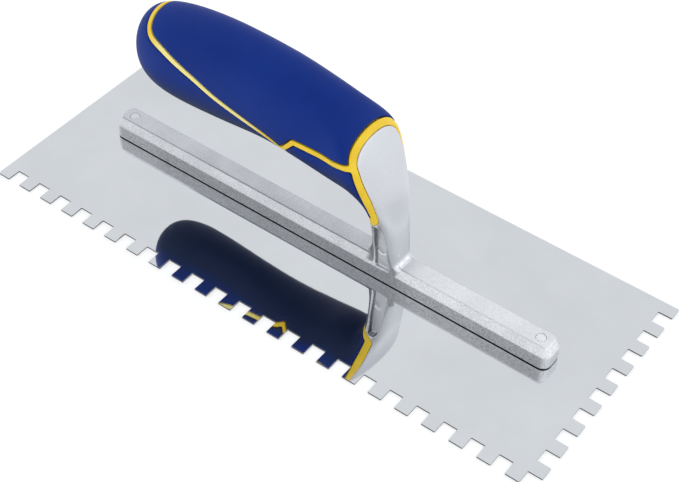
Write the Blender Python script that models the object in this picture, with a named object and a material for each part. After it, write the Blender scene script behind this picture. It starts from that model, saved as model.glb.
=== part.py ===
"""Notched trowel: a steel blade, its cast mounting, the rivets between them and a moulded soft grip handle.

The origin is on the blade's sole, under the centre of the blade. +X points to the notched short edge and the
handle's front, +Y to the straight long edge, and +Z up through the handle. The handle's section points are in
millimetres from the blade's plain front left corner, with heights above its top face: placed() converts them.
"""

import math

import bmesh
import bpy
import numpy as np

MM = 0.001
GAP = 0.3 * MM

# Blade
BLADE_LENGTH = 279.4 * MM
BLADE_WIDTH = 114.3 * MM
BLADE_THICKNESS = 0.7 * MM
NOTCH = 6.35 * MM
NOTCH_PITCH = 2 * NOTCH
FRONT_TEETH = 22
SIDE_TEETH = 9

# Bar of the mounting
BAR_LENGTH = 230.0 * MM
BAR_CENTRE = -1.3 * MM
BAR_WIDTH = 12.5 * MM
BAR_HEIGHT = 11.0 * MM
BAR_SIDE_HEIGHT = 7.0 * MM
BAR_CHAMFER = 2.2 * MM
BAR_CORNER = 4.0 * MM
CORNER_STEPS = 6

# Rivets, evenly spaced from end to end: only the end ones come up through the bar
RIVET_RADIUS = 2.1 * MM
RIVET_COUNT = 7
RIVET_SPAN = 215.4 * MM
RIVET_CHAMFER = 0.2 * MM
BLIND_RIVET_HEIGHT = 6.5 * MM
ROUND_STEPS = 32

# Sections of the handle and the neck, from the rear end to the foot. Each has the point on the under line
# (x, z), the point on the top line (x, z), the half width, and how far from under to top it is widest.
SECTIONS = (
    (36.0, 42.5, 36.0, 85.5, 15.4, 0.50),
    (60.0, 42.6, 60.0, 86.8, 16.1, 0.50),
    (80.0, 42.1, 80.0, 89.2, 15.4, 0.56),
    (100.0, 43.7, 100.0, 89.9, 15.0, 0.55),
    (120.0, 46.9, 120.0, 88.8, 15.9, 0.43),
    (138.0, 46.7, 132.5, 87.0, 16.2, 0.36),
    (151.6, 43.0, 148.8, 82.9, 15.9, 0.49),
    (158.9, 42.8, 160.6, 73.8, 17.3, 0.66),
    (162.3, 41.0, 168.8, 61.8, 14.8, 0.60),
    (163.9, 37.1, 174.7, 49.3, 11.6, 0.51),
    (165.1, 28.0, 177.1, 36.0, 9.3, 0.58),
    (165.2, 19.3, 178.3, 23.1, 8.2, 0.70),
    (164.3, 14.5, 178.9, 15.0, 7.0, 0.83),
    (163.4, 10.8, 179.3, 10.8, 6.3, 0.86),
    (163.0, 5.0, 179.7, 5.0, 6.2, 0.86),
)
HANDLE_UNDER_SQUARENESS = 2.16
HANDLE_TOP_SQUARENESS = 2.04
NECK_UNDER_SQUARENESS = 2.2
NECK_FRONT_SQUARENESS = 3.0
FIRST_NECK_SECTION = 8
REAR_END = 43.0
REAR_ROUNDING = 36.0
REAR_SQUARENESS = 3.3
RING_POINTS = 36
REAR_RINGS = 9
RINGS = 34

# Grip panels and the raised lines of the core between them, drawn on the side view (x, z)
GRIP_THICKNESS = 2.2
LINE_HALF_WIDTH = 1.1
LINE_REAR = ((52.5, 96.0), (52.7, 88.0), (52.8, 81.4), (56.2, 76.6), (65.8, 73.8))
LINE_SLOPE = ((80.0, 68.5), (92.0, 62.9), (104.0, 59.4), (119.0, 56.8))
LINE_STEP = ((125.6, 54.6), (129.4, 57.0), (133.0, 61.2), (137.0, 62.8))
LINE_FRONT = ((145.0, 62.6), (152.5, 62.8), (158.0, 64.2), (164.0, 65.0), (180.0, 66.0))
COLLAR_REAR = ((159.2, 100.0), (159.3, 84.0), (159.6, 74.5), (160.6, 68.6), (163.2, 62.6), (166.2, 51.0), (169.0, 37.2))
COLLAR_FRONT = ((161.2, 100.0), (161.3, 84.0), (161.7, 73.0), (163.1, 66.9), (165.8, 60.8), (169.7, 49.6), (172.4, 37.5))
COLLAR_REAR_TAIL = ((166.0, 35.2), (150.0, 34.2))
COLLAR_FRONT_TAIL = ((171.6, 35.4), (169.6, 33.4), (166.0, 32.0), (150.0, 30.6))
CURVE_STEPS = 5
SIDE_REACH = 40.0
CUTTER_EXTRA = 1.0

# Tang: its sections inside the handle, from the root to the tip: x, z, half height, half width, and lean: how
# far x moves for each unit of height above the section's centre, so that the root follows the neck's slope
TANG = (
    (168.9, 57.5, 6.0, 6.5, -0.43),
    (152.0, 62.0, 7.5, 7.0, 0.0),
    (112.0, 66.0, 6.0, 5.0, 0.0),
    (78.0, 66.0, 4.5, 4.0, 0.0),
)
TANG_POINTS = 16

# Pocket in each side of the neck
POCKET = (
    (169.2, 7.8),
    (177.4, 7.8),
    (176.7, 16.0),
    (175.6, 24.5),
    (174.0, 31.0),
    (172.6, 33.0),
    (169.6, 33.0),
    (169.2, 22.0),
)
POCKET_WEB_FOOT = 5.0
POCKET_WEB_TOP = 6.5


def clear_scene():
    for thing in list(bpy.data.objects):
        bpy.data.objects.remove(thing)


def placed(x, y, z):
    """Metres from the blade's centre, for millimetres from its corner and above its top face."""
    return (
        x * MM - BLADE_LENGTH / 2,
        y * MM,
        z * MM + BLADE_THICKNESS,
    )


def material(name, colour, metallic, roughness):
    made = bpy.data.materials.new(name)
    made.use_nodes = True
    shader = made.node_tree.nodes["Principled BSDF"]
    shader.inputs["Base Color"].default_value = (*colour, 1.0)
    shader.inputs["Metallic"].default_value = metallic
    shader.inputs["Roughness"].default_value = roughness
    return made


def add_object(name, vertices, faces):
    mesh = bpy.data.meshes.new(name)
    mesh.from_pydata(vertices, [], faces)
    mesh.validate()
    thing = bpy.data.objects.new(name, mesh)
    bpy.context.scene.collection.objects.link(thing)
    return thing


def face_outwards(thing):
    """Makes the faces of a closed mesh point out."""
    shell = bmesh.new()
    shell.from_mesh(thing.data)
    bmesh.ops.recalc_face_normals(shell, faces=shell.faces)
    shell.to_mesh(thing.data)
    shell.free()


def finish(thing, look, sharp_degrees=35):
    """Gives a finished piece its material and smooth shading with sharp edges."""
    thing.data.materials.clear()
    thing.data.materials.append(look)
    thing.data.shade_smooth()
    thing.data.set_sharp_from_angle(angle=math.radians(sharp_degrees))


def loft(name, rings):
    """A closed solid through rings that all have the same number of points. A ring may be a single point."""
    vertices = []
    starts = []
    for ring in rings:
        starts.append(len(vertices))
        vertices.extend(ring)
    faces = []
    for near, far, first, second in zip(rings, rings[1:], starts, starts[1:]):
        count = max(len(near), len(far))
        for i in range(count):
            j = (i + 1) % count
            if len(near) == 1:
                faces.append((first, second + j, second + i))
            elif len(far) == 1:
                faces.append((first + i, first + j, second))
            else:
                faces.append((first + i, first + j, second + j, second + i))
    if len(rings[0]) > 1:
        faces.append(tuple(range(len(rings[0]))))
    if len(rings[-1]) > 1:
        faces.append(tuple(starts[-1] + i for i in range(len(rings[-1]))))
    solid = add_object(name, vertices, faces)
    face_outwards(solid)
    return solid


def boolean(target, operation, tool):
    """Applies one exact Boolean to target and removes the tool."""
    modifier = target.modifiers.new(operation.title(), "BOOLEAN")
    modifier.operation = operation
    modifier.solver = "EXACT"
    modifier.object = tool
    bpy.context.view_layer.update()
    depsgraph = bpy.context.evaluated_depsgraph_get()
    mesh = bpy.data.meshes.new_from_object(target.evaluated_get(depsgraph))
    target.modifiers.clear()
    target.data = mesh
    bpy.data.objects.remove(tool)


def smooth_curve(points, steps):
    """A rounded path through the points, with steps spans between neighbours (Catmull-Rom)."""
    points = [np.array(point, float) for point in points]
    padded = [2 * points[0] - points[1], *points, 2 * points[-1] - points[-2]]
    path = []
    for before, start, end, after in zip(padded, padded[1:], padded[2:], padded[3:]):
        for step in range(steps):
            t = step / steps
            turn = 2 * before - 5 * start + 4 * end - after
            bend = 3 * start - before - 3 * end + after
            path.append(start + 0.5 * (t * (end - before) + t * t * turn + t**3 * bend))
    path.append(points[-1])
    return path


def natural_spline(knots, values, wanted):
    """Values of the natural cubic spline through (knots, values) at the wanted places."""
    knots = np.asarray(knots, float)
    values = np.asarray(values, float)
    spans = np.diff(knots)
    count = len(knots)
    system = np.eye(count)
    right = np.zeros(count)
    for i in range(1, count - 1):
        system[i, i - 1 : i + 2] = spans[i - 1], 2 * (spans[i - 1] + spans[i]), spans[i]
        slope_change = (values[i + 1] - values[i]) / spans[i] - (values[i] - values[i - 1]) / spans[i - 1]
        right[i] = 6 * slope_change
    curvature = np.linalg.solve(system, right)
    wanted = np.asarray(wanted, float)
    index = np.clip(np.searchsorted(knots, wanted) - 1, 0, count - 2)
    span = spans[index]
    b = (wanted - knots[index]) / span
    a = 1 - b
    bend = (a**3 - a) * curvature[index] + (b**3 - b) * curvature[index + 1]
    return a * values[index] + b * values[index + 1] + bend * span**2 / 6


def section_places():
    """Distance along the handle's centre line of every section."""
    centres = [((s[0] + s[2]) / 2, (s[1] + s[3]) / 2) for s in SECTIONS]
    places = [0.0]
    for (x0, z0), (x1, z1) in zip(centres, centres[1:]):
        places.append(places[-1] + math.hypot(x1 - x0, z1 - z0))
    return places


def handle_skin(inset=0.0):
    """Rings of the handle and neck surface, rear end to foot, drawn in by inset millimetres."""
    places = section_places()
    start = REAR_END - SECTIONS[0][0] + inset
    rounding = [REAR_ROUNDING * (i / REAR_RINGS) ** 2 for i in range(1, REAR_RINGS + 1)]
    straight = np.linspace(start + REAR_ROUNDING, places[-1], RINGS - REAR_RINGS + 1)[1:]
    along = np.array([*(start + r for r in rounding), *straight])
    columns = [natural_spline(places, [s[k] for s in SECTIONS], along) for k in range(6)]
    neck = np.interp(along, (places[FIRST_NECK_SECTION - 1], places[-1]), (0.0, 1.0))
    rings = []
    for i, place in enumerate(along):
        under_x, under_z, top_x, top_z, half_width, widest = (column[i] for column in columns)
        rounded = max(1 - (place - start) / REAR_ROUNDING, 0.0)
        size = (1 - rounded**REAR_SQUARENESS) ** (1 / REAR_SQUARENESS)
        centre = np.array(((under_x + top_x) / 2, (under_z + top_z) / 2))
        reach = np.array(((top_x - under_x) / 2, (top_z - under_z) / 2))
        depth = np.linalg.norm(reach)
        reach *= (depth - inset) / depth
        powers = (
            HANDLE_UNDER_SQUARENESS + neck[i] * (NECK_UNDER_SQUARENESS - HANDLE_UNDER_SQUARENESS),
            HANDLE_TOP_SQUARENESS + neck[i] * (NECK_FRONT_SQUARENESS - HANDLE_TOP_SQUARENESS),
        )
        ring = []
        for point in range(RING_POINTS):
            angle = 2 * math.pi * (point + 0.5) / RING_POINTS
            across, up = math.cos(angle), math.sin(angle)
            power = 2 / powers[up > 0]
            across = math.copysign(abs(across) ** power, across)
            up = math.copysign(abs(up) ** power, up)
            ridge = 2 * widest - 1
            shift = ridge + (1 - ridge if up > 0 else 1 + ridge) * up
            x, z = centre + reach * size * shift
            ring.append(placed(x, (half_width - inset) * size * across, z))
        rings.append(ring)
    x, z = (natural_spline(places, [(s[k] + s[k + 2]) / 2 for s in SECTIONS], [start])[0] for k in (0, 1))
    return [[placed(x, 0.0, z)], *rings]


def side_prism(name, outline, reach=SIDE_REACH):
    """A side view outline (x, z) in millimetres, extruded across the whole handle."""
    return loft(name, [[placed(x, side * reach, z) for x, z in outline] for side in (-1, 1)])


def offset(path, distance):
    """The path moved to its left by a distance."""
    path = np.array(path)
    ways = np.gradient(path, axis=0)
    ways /= np.linalg.norm(ways, axis=1)[:, None]
    return [tuple(point) for point in path + distance * np.column_stack((-ways[:, 1], ways[:, 0]))]


def raised_line():
    """Centre line of the core's raised line: over the rear, down the slope, up the step and on to the collar."""
    return smooth_curve((*LINE_REAR, *LINE_SLOPE, *LINE_STEP, *LINE_FRONT), CURVE_STEPS)


def above_line(gap):
    """Prism over everything above and in front of the raised line, a gap away from it."""
    edge = offset(raised_line(), LINE_HALF_WIDTH + gap)
    return side_prism("above_line", [*edge, (180.0, 110.0), (52.5, 110.0)])


def below_line(gap):
    """Prism over everything behind and below the raised line, a gap away from it."""
    edge = offset(raised_line(), -LINE_HALF_WIDTH - gap)
    return side_prism("below_line", [*edge, (200.0, 20.0), (20.0, 20.0), (20.0, 96.0)])


def behind_edge(edge, tail, shift):
    """Prism over the whole handle behind one edge of the collar, moved forward by shift."""
    path = offset([*smooth_curve(edge, CURVE_STEPS), *tail], shift)
    return side_prism("behind", [*path, (20.0, path[-1][1]), (20.0, path[0][1])])


def behind_collar(gap):
    return behind_edge(COLLAR_REAR, COLLAR_REAR_TAIL, -gap)


def behind_casting(gap):
    return behind_edge(COLLAR_FRONT, COLLAR_FRONT_TAIL, gap)


def blade_outline():
    """The blade's outline from its plain front left corner, anticlockwise seen from above."""
    left, front = -BLADE_LENGTH / 2, -BLADE_WIDTH / 2
    right, back = -left, -front
    points = [(left, front)]
    for tooth in range(FRONT_TEETH):
        x = left + tooth * NOTCH_PITCH
        points += [(x + NOTCH, front), (x + NOTCH, front + NOTCH)]
        if tooth < FRONT_TEETH - 1:
            points += [(x + NOTCH_PITCH, front + NOTCH), (x + NOTCH_PITCH, front)]
    for tooth in range(SIDE_TEETH):
        y = front + NOTCH + tooth * NOTCH_PITCH
        points += [(right, y), (right, y + NOTCH)]
        if tooth < SIDE_TEETH - 1:
            points += [(right - NOTCH, y + NOTCH), (right - NOTCH, y + NOTCH_PITCH)]
    points.append((left, back))
    return points


def rivet_places():
    """X of each rivet, rear to front."""
    return [BAR_CENTRE + RIVET_SPAN * (i / (RIVET_COUNT - 1) - 0.5) for i in range(RIVET_COUNT)]


def rivet_height(number):
    """Height of a rivet's top above the sole: the end ones are flush with the bar's top."""
    is_end = number in (0, RIVET_COUNT - 1)
    return BLADE_THICKNESS + (BAR_HEIGHT if is_end else BLIND_RIVET_HEIGHT)


def disc_ring(x, radius, z):
    angles = [2 * math.pi * i / ROUND_STEPS for i in range(ROUND_STEPS)]
    return [(x + radius * math.cos(a), radius * math.sin(a), z) for a in angles]


def rivet_hole(number, top):
    """Cutter for one rivet's hole, from below the sole to the given height."""
    x = rivet_places()[number]
    radius = RIVET_RADIUS + GAP
    return loft("rivet_hole", [disc_ring(x, radius, -BAR_HEIGHT), disc_ring(x, radius, top)])


def make_blade(look):
    """Flat steel blade: its notched outline and its rivet holes are filled as one sheet, then thickened."""
    sheet = bmesh.new()
    outline = [(x, y, 0.0) for x, y in blade_outline()]
    holes = [disc_ring(x, RIVET_RADIUS + GAP, 0.0) for x in rivet_places()]
    for path in (outline, *holes):
        corners = [sheet.verts.new(point) for point in path]
        for start, end in zip(corners, corners[1:] + corners[:1]):
            sheet.edges.new((start, end))
    bmesh.ops.triangle_fill(sheet, use_beauty=True, edges=sheet.edges)
    raised = bmesh.ops.extrude_face_region(sheet, geom=sheet.faces[:])["geom"]
    corners = [part for part in raised if isinstance(part, bmesh.types.BMVert)]
    bmesh.ops.translate(sheet, verts=corners, vec=(0.0, 0.0, BLADE_THICKNESS))
    bmesh.ops.recalc_face_normals(sheet, faces=sheet.faces)
    blade = add_object("blade", [], [])
    sheet.to_mesh(blade.data)
    sheet.free()
    finish(blade, look)


def make_rivet(number, look):
    """One flush rivet with a small chamfer at both ends."""
    x = rivet_places()[number]
    top = rivet_height(number)
    small = RIVET_RADIUS - RIVET_CHAMFER
    rings = [
        disc_ring(x, small, 0.0),
        disc_ring(x, RIVET_RADIUS, RIVET_CHAMFER),
        disc_ring(x, RIVET_RADIUS, top - RIVET_CHAMFER),
        disc_ring(x, small, top),
    ]
    rivet = loft(f"rivet_{number + 1}", rings)
    finish(rivet, look)


def bar_ring(inset, z):
    """The bar's rounded outline, drawn in by inset."""
    half_length = BAR_LENGTH / 2 - BAR_CORNER
    half_width = BAR_WIDTH / 2 - BAR_CORNER
    radius = BAR_CORNER - inset
    ring = []
    for turn, (sx, sy) in enumerate(((1, 1), (-1, 1), (-1, -1), (1, -1))):
        for step in range(CORNER_STEPS + 1):
            angle = math.pi / 2 * (turn + step / CORNER_STEPS)
            x = BAR_CENTRE + sx * half_length + radius * math.cos(angle)
            y = sy * half_width + radius * math.sin(angle)
            ring.append((x, y, z))
    return ring


def make_bar():
    base = BLADE_THICKNESS + GAP
    rings = [
        bar_ring(0.0, base),
        bar_ring(0.0, BLADE_THICKNESS + BAR_SIDE_HEIGHT),
        bar_ring(BAR_CHAMFER, BLADE_THICKNESS + BAR_HEIGHT),
    ]
    return loft("mounting", rings)


def make_tang(extra=0.0):
    """The tang inside the handle, drawn out by extra millimetres on every side."""
    rings = []
    for number, (x, z, half_height, half_width, lean) in enumerate(TANG):
        if number == len(TANG) - 1:
            x -= extra
        ring = []
        for point in range(TANG_POINTS):
            angle = 2 * math.pi * (point + 0.5) / TANG_POINTS
            y = (half_width + extra) * math.cos(angle)
            up = (half_height + extra) * math.sin(angle)
            ring.append(placed(x + lean * up, y, z + up))
        rings.append(ring)
    return loft("tang", rings)


def pocket_cutter(side):
    """Cutter for the triangular pocket in one side of the neck, down to the web."""
    low = min(z for _, z in POCKET)
    high = max(z for _, z in POCKET)
    inner = []
    for x, z in POCKET:
        web = POCKET_WEB_FOOT + (POCKET_WEB_TOP - POCKET_WEB_FOOT) * (z - low) / (high - low)
        inner.append(placed(x, side * web, z))
    outer = [placed(x, side * SIDE_REACH, z) for x, z in POCKET]
    return loft("pocket", [inner, outer])


def make_mounting(look):
    """The casting: bar, neck and tang in one body."""
    mounting = make_bar()
    neck = loft("neck", handle_skin())
    boolean(neck, "DIFFERENCE", behind_casting(GAP / MM))
    boolean(neck, "UNION", make_tang())
    boolean(mounting, "UNION", neck)
    for side in (-1, 1):
        boolean(mounting, "DIFFERENCE", pocket_cutter(side))
    for number in range(RIVET_COUNT):
        is_end = number in (0, RIVET_COUNT - 1)
        top = 2 * BAR_HEIGHT if is_end else rivet_height(number) + GAP
        boolean(mounting, "DIFFERENCE", rivet_hole(number, top))
    finish(mounting, look)


def panel(name, side_of_line, outer, inner, gap):
    """The layer of the handle between two insets, on one side of the raised line and behind the collar."""
    layer = loft(name, handle_skin(outer))
    boolean(layer, "INTERSECT", side_of_line(gap))
    boolean(layer, "INTERSECT", behind_collar(gap))
    boolean(layer, "DIFFERENCE", loft("inside", handle_skin(inner)))
    return layer


def make_core(look):
    """Rigid core: the whole handle less the space of the two grips, hollow for the tang."""
    core = loft("handle_core", handle_skin())
    boolean(core, "INTERSECT", behind_casting(0.0))
    for side_of_line in (above_line, below_line):
        inner = GRIP_THICKNESS + GAP / MM
        boolean(core, "DIFFERENCE", panel("space", side_of_line, -CUTTER_EXTRA, inner, 0.0))
    boolean(core, "DIFFERENCE", make_tang(GAP / MM))
    finish(core, look)


def make_grip(name, side_of_line, look):
    """One soft panel of the handle's outer layer."""
    grip = panel(name, side_of_line, 0.0, GRIP_THICKNESS, GAP / MM)
    finish(grip, look)


def main():
    clear_scene()
    steel = material("blade_steel", (0.62, 0.64, 0.66), 1.0, 0.22)
    cast = material("cast_aluminium", (0.70, 0.71, 0.73), 1.0, 0.42)
    rivet_metal = material("rivet_aluminium", (0.66, 0.67, 0.69), 1.0, 0.35)
    plastic = material("yellow_plastic", (0.87, 0.58, 0.02), 0.0, 0.40)
    rubber = material("blue_rubber", (0.01, 0.035, 0.27), 0.0, 0.60)
    make_blade(steel)
    make_mounting(cast)
    for number in range(RIVET_COUNT):
        make_rivet(number, rivet_metal)
    make_core(plastic)
    make_grip("upper_grip", above_line, rubber)
    make_grip("lower_grip", below_line, rubber)


main()
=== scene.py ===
"""Looks of the notched trowel: fine surfaces for every piece, their materials and the studio."""

import math

import bmesh
import bpy
import numpy as np
from mathutils import Matrix, Vector


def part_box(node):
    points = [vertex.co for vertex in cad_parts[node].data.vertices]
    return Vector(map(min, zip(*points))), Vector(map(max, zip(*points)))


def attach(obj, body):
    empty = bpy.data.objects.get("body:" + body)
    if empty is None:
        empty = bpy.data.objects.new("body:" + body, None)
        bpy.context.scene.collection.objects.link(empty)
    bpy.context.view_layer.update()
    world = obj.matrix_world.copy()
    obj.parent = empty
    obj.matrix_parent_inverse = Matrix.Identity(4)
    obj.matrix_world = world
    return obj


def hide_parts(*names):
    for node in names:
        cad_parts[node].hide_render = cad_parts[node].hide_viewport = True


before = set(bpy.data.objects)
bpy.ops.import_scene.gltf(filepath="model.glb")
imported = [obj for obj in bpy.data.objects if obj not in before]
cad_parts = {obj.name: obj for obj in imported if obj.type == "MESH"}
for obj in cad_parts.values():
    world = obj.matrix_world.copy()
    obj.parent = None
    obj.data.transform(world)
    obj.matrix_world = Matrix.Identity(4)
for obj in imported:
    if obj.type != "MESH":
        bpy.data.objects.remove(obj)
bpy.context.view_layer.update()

MM = 0.001
BLADE_LOW, BLADE_HIGH = (np.array(corner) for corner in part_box("blade"))
SIDE_VIEW_CORNER = np.array((BLADE_LOW[0], 0.0, BLADE_HIGH[2]))

# Camera
CAMERA_PLACE = (0.27292, -0.37199, 0.46775)
CAMERA_TARGET = (0.00491, 0.00284, 0.0)
CAMERA_ROLL = 1.812
CAMERA_LENS = 81.138
SENSOR_WIDTH = 36.0

# Sections of the handle and the neck, in side view millimetres from the blade's plain front left corner and
# above its top face: under point (x, z), top point (x, z), half width, and where from under to top the
# section is widest
SECTIONS = (
    (36.0, 42.5, 36.0, 85.5, 15.4, 0.50),
    (60.0, 42.6, 60.0, 86.8, 16.1, 0.50),
    (80.0, 42.1, 80.0, 89.2, 15.4, 0.56),
    (100.0, 43.7, 100.0, 89.9, 15.0, 0.55),
    (120.0, 46.9, 120.0, 88.8, 15.9, 0.43),
    (138.0, 46.7, 132.5, 87.0, 16.2, 0.36),
    (151.6, 43.0, 148.8, 82.9, 15.9, 0.49),
    (158.9, 42.8, 160.6, 73.8, 17.3, 0.66),
    (162.3, 41.0, 168.8, 61.8, 14.8, 0.60),
    (163.9, 37.1, 174.7, 49.3, 11.6, 0.51),
    (165.1, 28.0, 177.1, 36.0, 9.3, 0.58),
    (165.2, 19.3, 178.3, 23.1, 8.2, 0.70),
    (164.3, 14.5, 178.9, 15.0, 7.0, 0.83),
    (163.4, 10.8, 179.3, 10.8, 6.3, 0.86),
    (163.0, 5.0, 179.7, 5.0, 6.2, 0.86),
)
HANDLE_UNDER_SQUARENESS = 2.16
HANDLE_TOP_SQUARENESS = 2.04
NECK_UNDER_SQUARENESS = 2.2
NECK_FRONT_SQUARENESS = 3.0
FIRST_NECK_SECTION = 8
REAR_END = 43.0
REAR_ROUNDING = 36.0
REAR_SQUARENESS = 3.3

# Raised line and collar of the core, in the same side view
LINE_WIDTHS = (
    (52.0, 1.15), (82.0, 1.1), (112.0, 1.05), (124.0, 0.85), (130.0, 0.95), (136.0, 1.15), (180.0, 1.15),
)
LINE_GAP = 0.4
LINE = (
    (52.5, 96.0), (52.7, 88.0), (52.8, 81.4), (56.2, 76.6), (65.8, 73.8),
    (80.0, 68.5), (92.0, 62.9), (104.0, 59.4), (119.6, 56.4), (124.9, 53.9),
    (125.9, 53.4), (126.8, 54.2), (132.4, 61.3), (133.4, 62.4), (134.8, 62.9),
    (145.0, 62.6), (152.5, 62.8), (158.0, 64.2), (164.0, 65.0), (180.0, 66.0),
)
COLLAR_REAR = (
    (159.2, 100.0), (159.3, 84.0), (159.6, 74.5), (160.6, 68.6),
    (163.2, 62.6), (166.2, 51.0), (169.0, 37.2),
)
COLLAR_REAR_TAIL = ((166.0, 35.2), (150.0, 34.2))
COLLAR_FRONT = (
    (161.2, 100.0), (161.3, 84.0), (161.7, 73.0), (163.1, 66.9),
    (165.8, 60.8), (169.7, 49.6), (172.4, 37.5),
)
COLLAR_FRONT_TAIL = (
    (172.15, 36.5), (171.6, 35.4), (170.7, 34.3), (169.6, 33.4), (166.0, 32.0), (150.0, 30.6),
)
CURVE_STEPS = 10

# Fine grid of the handle's skin
REAR_ROWS = 78
SKIN_ROWS = 250
SKIN_COLUMNS = 220
CORE_FINENESS = 0.68
SKIN_STOP = 20.0
SNAP = 0.02


def placed(points):
    """Row frame metres, for side view millimetres (x, y across, z)."""
    points = np.asarray(points, float)
    return points * MM + SIDE_VIEW_CORNER


def side_view(points):
    """Side view millimetres, for row frame metres."""
    return (points - SIDE_VIEW_CORNER) / MM


# Curves and sections


def smooth_curve(points, steps):
    """A rounded path through the points, with steps spans between neighbours (Catmull-Rom)."""
    points = [np.array(point, float) for point in points]
    padded = [2 * points[0] - points[1], *points, 2 * points[-1] - points[-2]]
    path = []
    for before, start, end, after in zip(padded, padded[1:], padded[2:], padded[3:]):
        for step in range(steps):
            t = step / steps
            turn = 2 * before - 5 * start + 4 * end - after
            bend = 3 * start - before - 3 * end + after
            path.append(start + 0.5 * (t * (end - before) + t * t * turn + t**3 * bend))
    path.append(points[-1])
    return np.array(path)


def natural_spline(knots, values, wanted):
    """Values of the natural cubic spline through (knots, values) at the wanted places."""
    knots = np.asarray(knots, float)
    values = np.asarray(values, float)
    spans = np.diff(knots)
    count = len(knots)
    system = np.eye(count)
    right = np.zeros(count)
    for i in range(1, count - 1):
        system[i, i - 1 : i + 2] = spans[i - 1], 2 * (spans[i - 1] + spans[i]), spans[i]
        slope_change = (values[i + 1] - values[i]) / spans[i] - (values[i] - values[i - 1]) / spans[i - 1]
        right[i] = 6 * slope_change
    curvature = np.linalg.solve(system, right)
    wanted = np.asarray(wanted, float)
    index = np.clip(np.searchsorted(knots, wanted) - 1, 0, count - 2)
    span = spans[index]
    b = (wanted - knots[index]) / span
    a = 1 - b
    bend = (a**3 - a) * curvature[index] + (b**3 - b) * curvature[index + 1]
    return a * values[index] + b * values[index + 1] + bend * span**2 / 6


def section_places():
    """Distance along the handle's centre line of every section."""
    table = np.array(SECTIONS)
    centres = (table[:, 0:2] + table[:, 2:4]) / 2
    steps = np.linalg.norm(np.diff(centres, axis=0), axis=1)
    return np.concatenate(([0.0], np.cumsum(steps)))


def rear_places(count):
    """Places of rings evenly spaced over the rounded rear end, measured on the surface."""
    turn = np.linspace(0.0, math.pi / 2, 4000)
    inwards = REAR_ROUNDING * (1 - np.cos(turn) ** (2 / REAR_SQUARENESS))
    outwards = SECTIONS[0][4] * np.sin(turn) ** (2 / REAR_SQUARENESS)
    steps = np.hypot(np.diff(inwards), np.diff(outwards))
    walked = np.concatenate(([0.0], np.cumsum(steps)))
    return np.interp(np.linspace(0.0, walked[-1], count + 1)[1:], walked, inwards)


def skin_rings(along, columns):
    """Rings (places, columns, 3) of the handle and neck surface at places along the centre line."""
    places = section_places()
    start = REAR_END - SECTIONS[0][0]
    table = np.array(SECTIONS)
    values = [natural_spline(places, table[:, k], along) for k in range(6)]
    under_x, under_z, top_x, top_z, half_width, widest = values
    neck = np.interp(along, (places[FIRST_NECK_SECTION - 1], places[-1]), (0.0, 1.0))[:, None]
    rounded = np.clip(1 - (along - start) / REAR_ROUNDING, 0.0, 1.0)
    size = ((1 - rounded**REAR_SQUARENESS) ** (1 / REAR_SQUARENESS))[:, None]
    angle = 2 * math.pi * (np.arange(columns) + 0.5) / columns
    across, up = np.cos(angle)[None], np.sin(angle)[None]
    under_power = HANDLE_UNDER_SQUARENESS + neck * (NECK_UNDER_SQUARENESS - HANDLE_UNDER_SQUARENESS)
    front_power = HANDLE_TOP_SQUARENESS + neck * (NECK_FRONT_SQUARENESS - HANDLE_TOP_SQUARENESS)
    power = 2 / np.where(up > 0, front_power, under_power)
    across = np.sign(across) * np.abs(across) ** power
    up = np.sign(up) * np.abs(up) ** power
    ridge = (2 * widest - 1)[:, None]
    shift = size * (ridge + np.where(up > 0, 1 - ridge, 1 + ridge) * up)
    x = ((under_x + top_x) / 2)[:, None] + ((top_x - under_x) / 2)[:, None] * shift
    z = ((under_z + top_z) / 2)[:, None] + ((top_z - under_z) / 2)[:, None] * shift
    y = half_width[:, None] * size * across
    return np.stack((x, y, z), axis=-1)


def rear_pole():
    places = section_places()
    table = np.array(SECTIONS)
    start = [REAR_END - SECTIONS[0][0]]
    x = natural_spline(places, (table[:, 0] + table[:, 2]) / 2, start)[0]
    z = natural_spline(places, (table[:, 1] + table[:, 3]) / 2, start)[0]
    return np.array((x, 0.0, z))


def skin_mesh(fineness):
    """Points, outward normals and triangles of the handle's skin from its rear pole to the neck."""
    places = section_places()
    start = REAR_END - SECTIONS[0][0]
    rear = start + rear_places(round(REAR_ROWS * fineness))
    last = places[-1] - SKIN_STOP
    front = np.linspace(rear[-1], last, round(SKIN_ROWS * fineness) + 1)[1:]
    rings = skin_rings(np.concatenate((rear, front)), round(SKIN_COLUMNS * fineness))
    rows, columns = rings.shape[:2]
    along = np.gradient(rings, axis=0)
    around = np.roll(rings, -1, axis=1) - np.roll(rings, 1, axis=1)
    normals = np.cross(around, along)
    normals /= np.linalg.norm(normals, axis=2, keepdims=True)
    outwards = ((rings - rings.mean(axis=1, keepdims=True)) * normals).sum(axis=2)
    if outwards[rows // 2].mean() < 0:
        normals = -normals
    points = np.vstack((rear_pole()[None], rings.reshape(-1, 3)))
    normals = np.vstack(((-1.0, 0.0, 0.0), normals.reshape(-1, 3)))
    index = 1 + np.arange(rows * columns).reshape(rows, columns)
    side = np.roll(index, -1, axis=1)
    a, b, c, d = index[:-1], side[:-1], side[1:], index[1:]
    faces = [np.stack((np.zeros(columns, int), side[0], index[0]), axis=1)]
    faces.append(np.stack((a, b, c), axis=-1).reshape(-1, 3))
    faces.append(np.stack((a, c, d), axis=-1).reshape(-1, 3))
    return points, normals, np.vstack(faces)


# Distances in the side view


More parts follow.
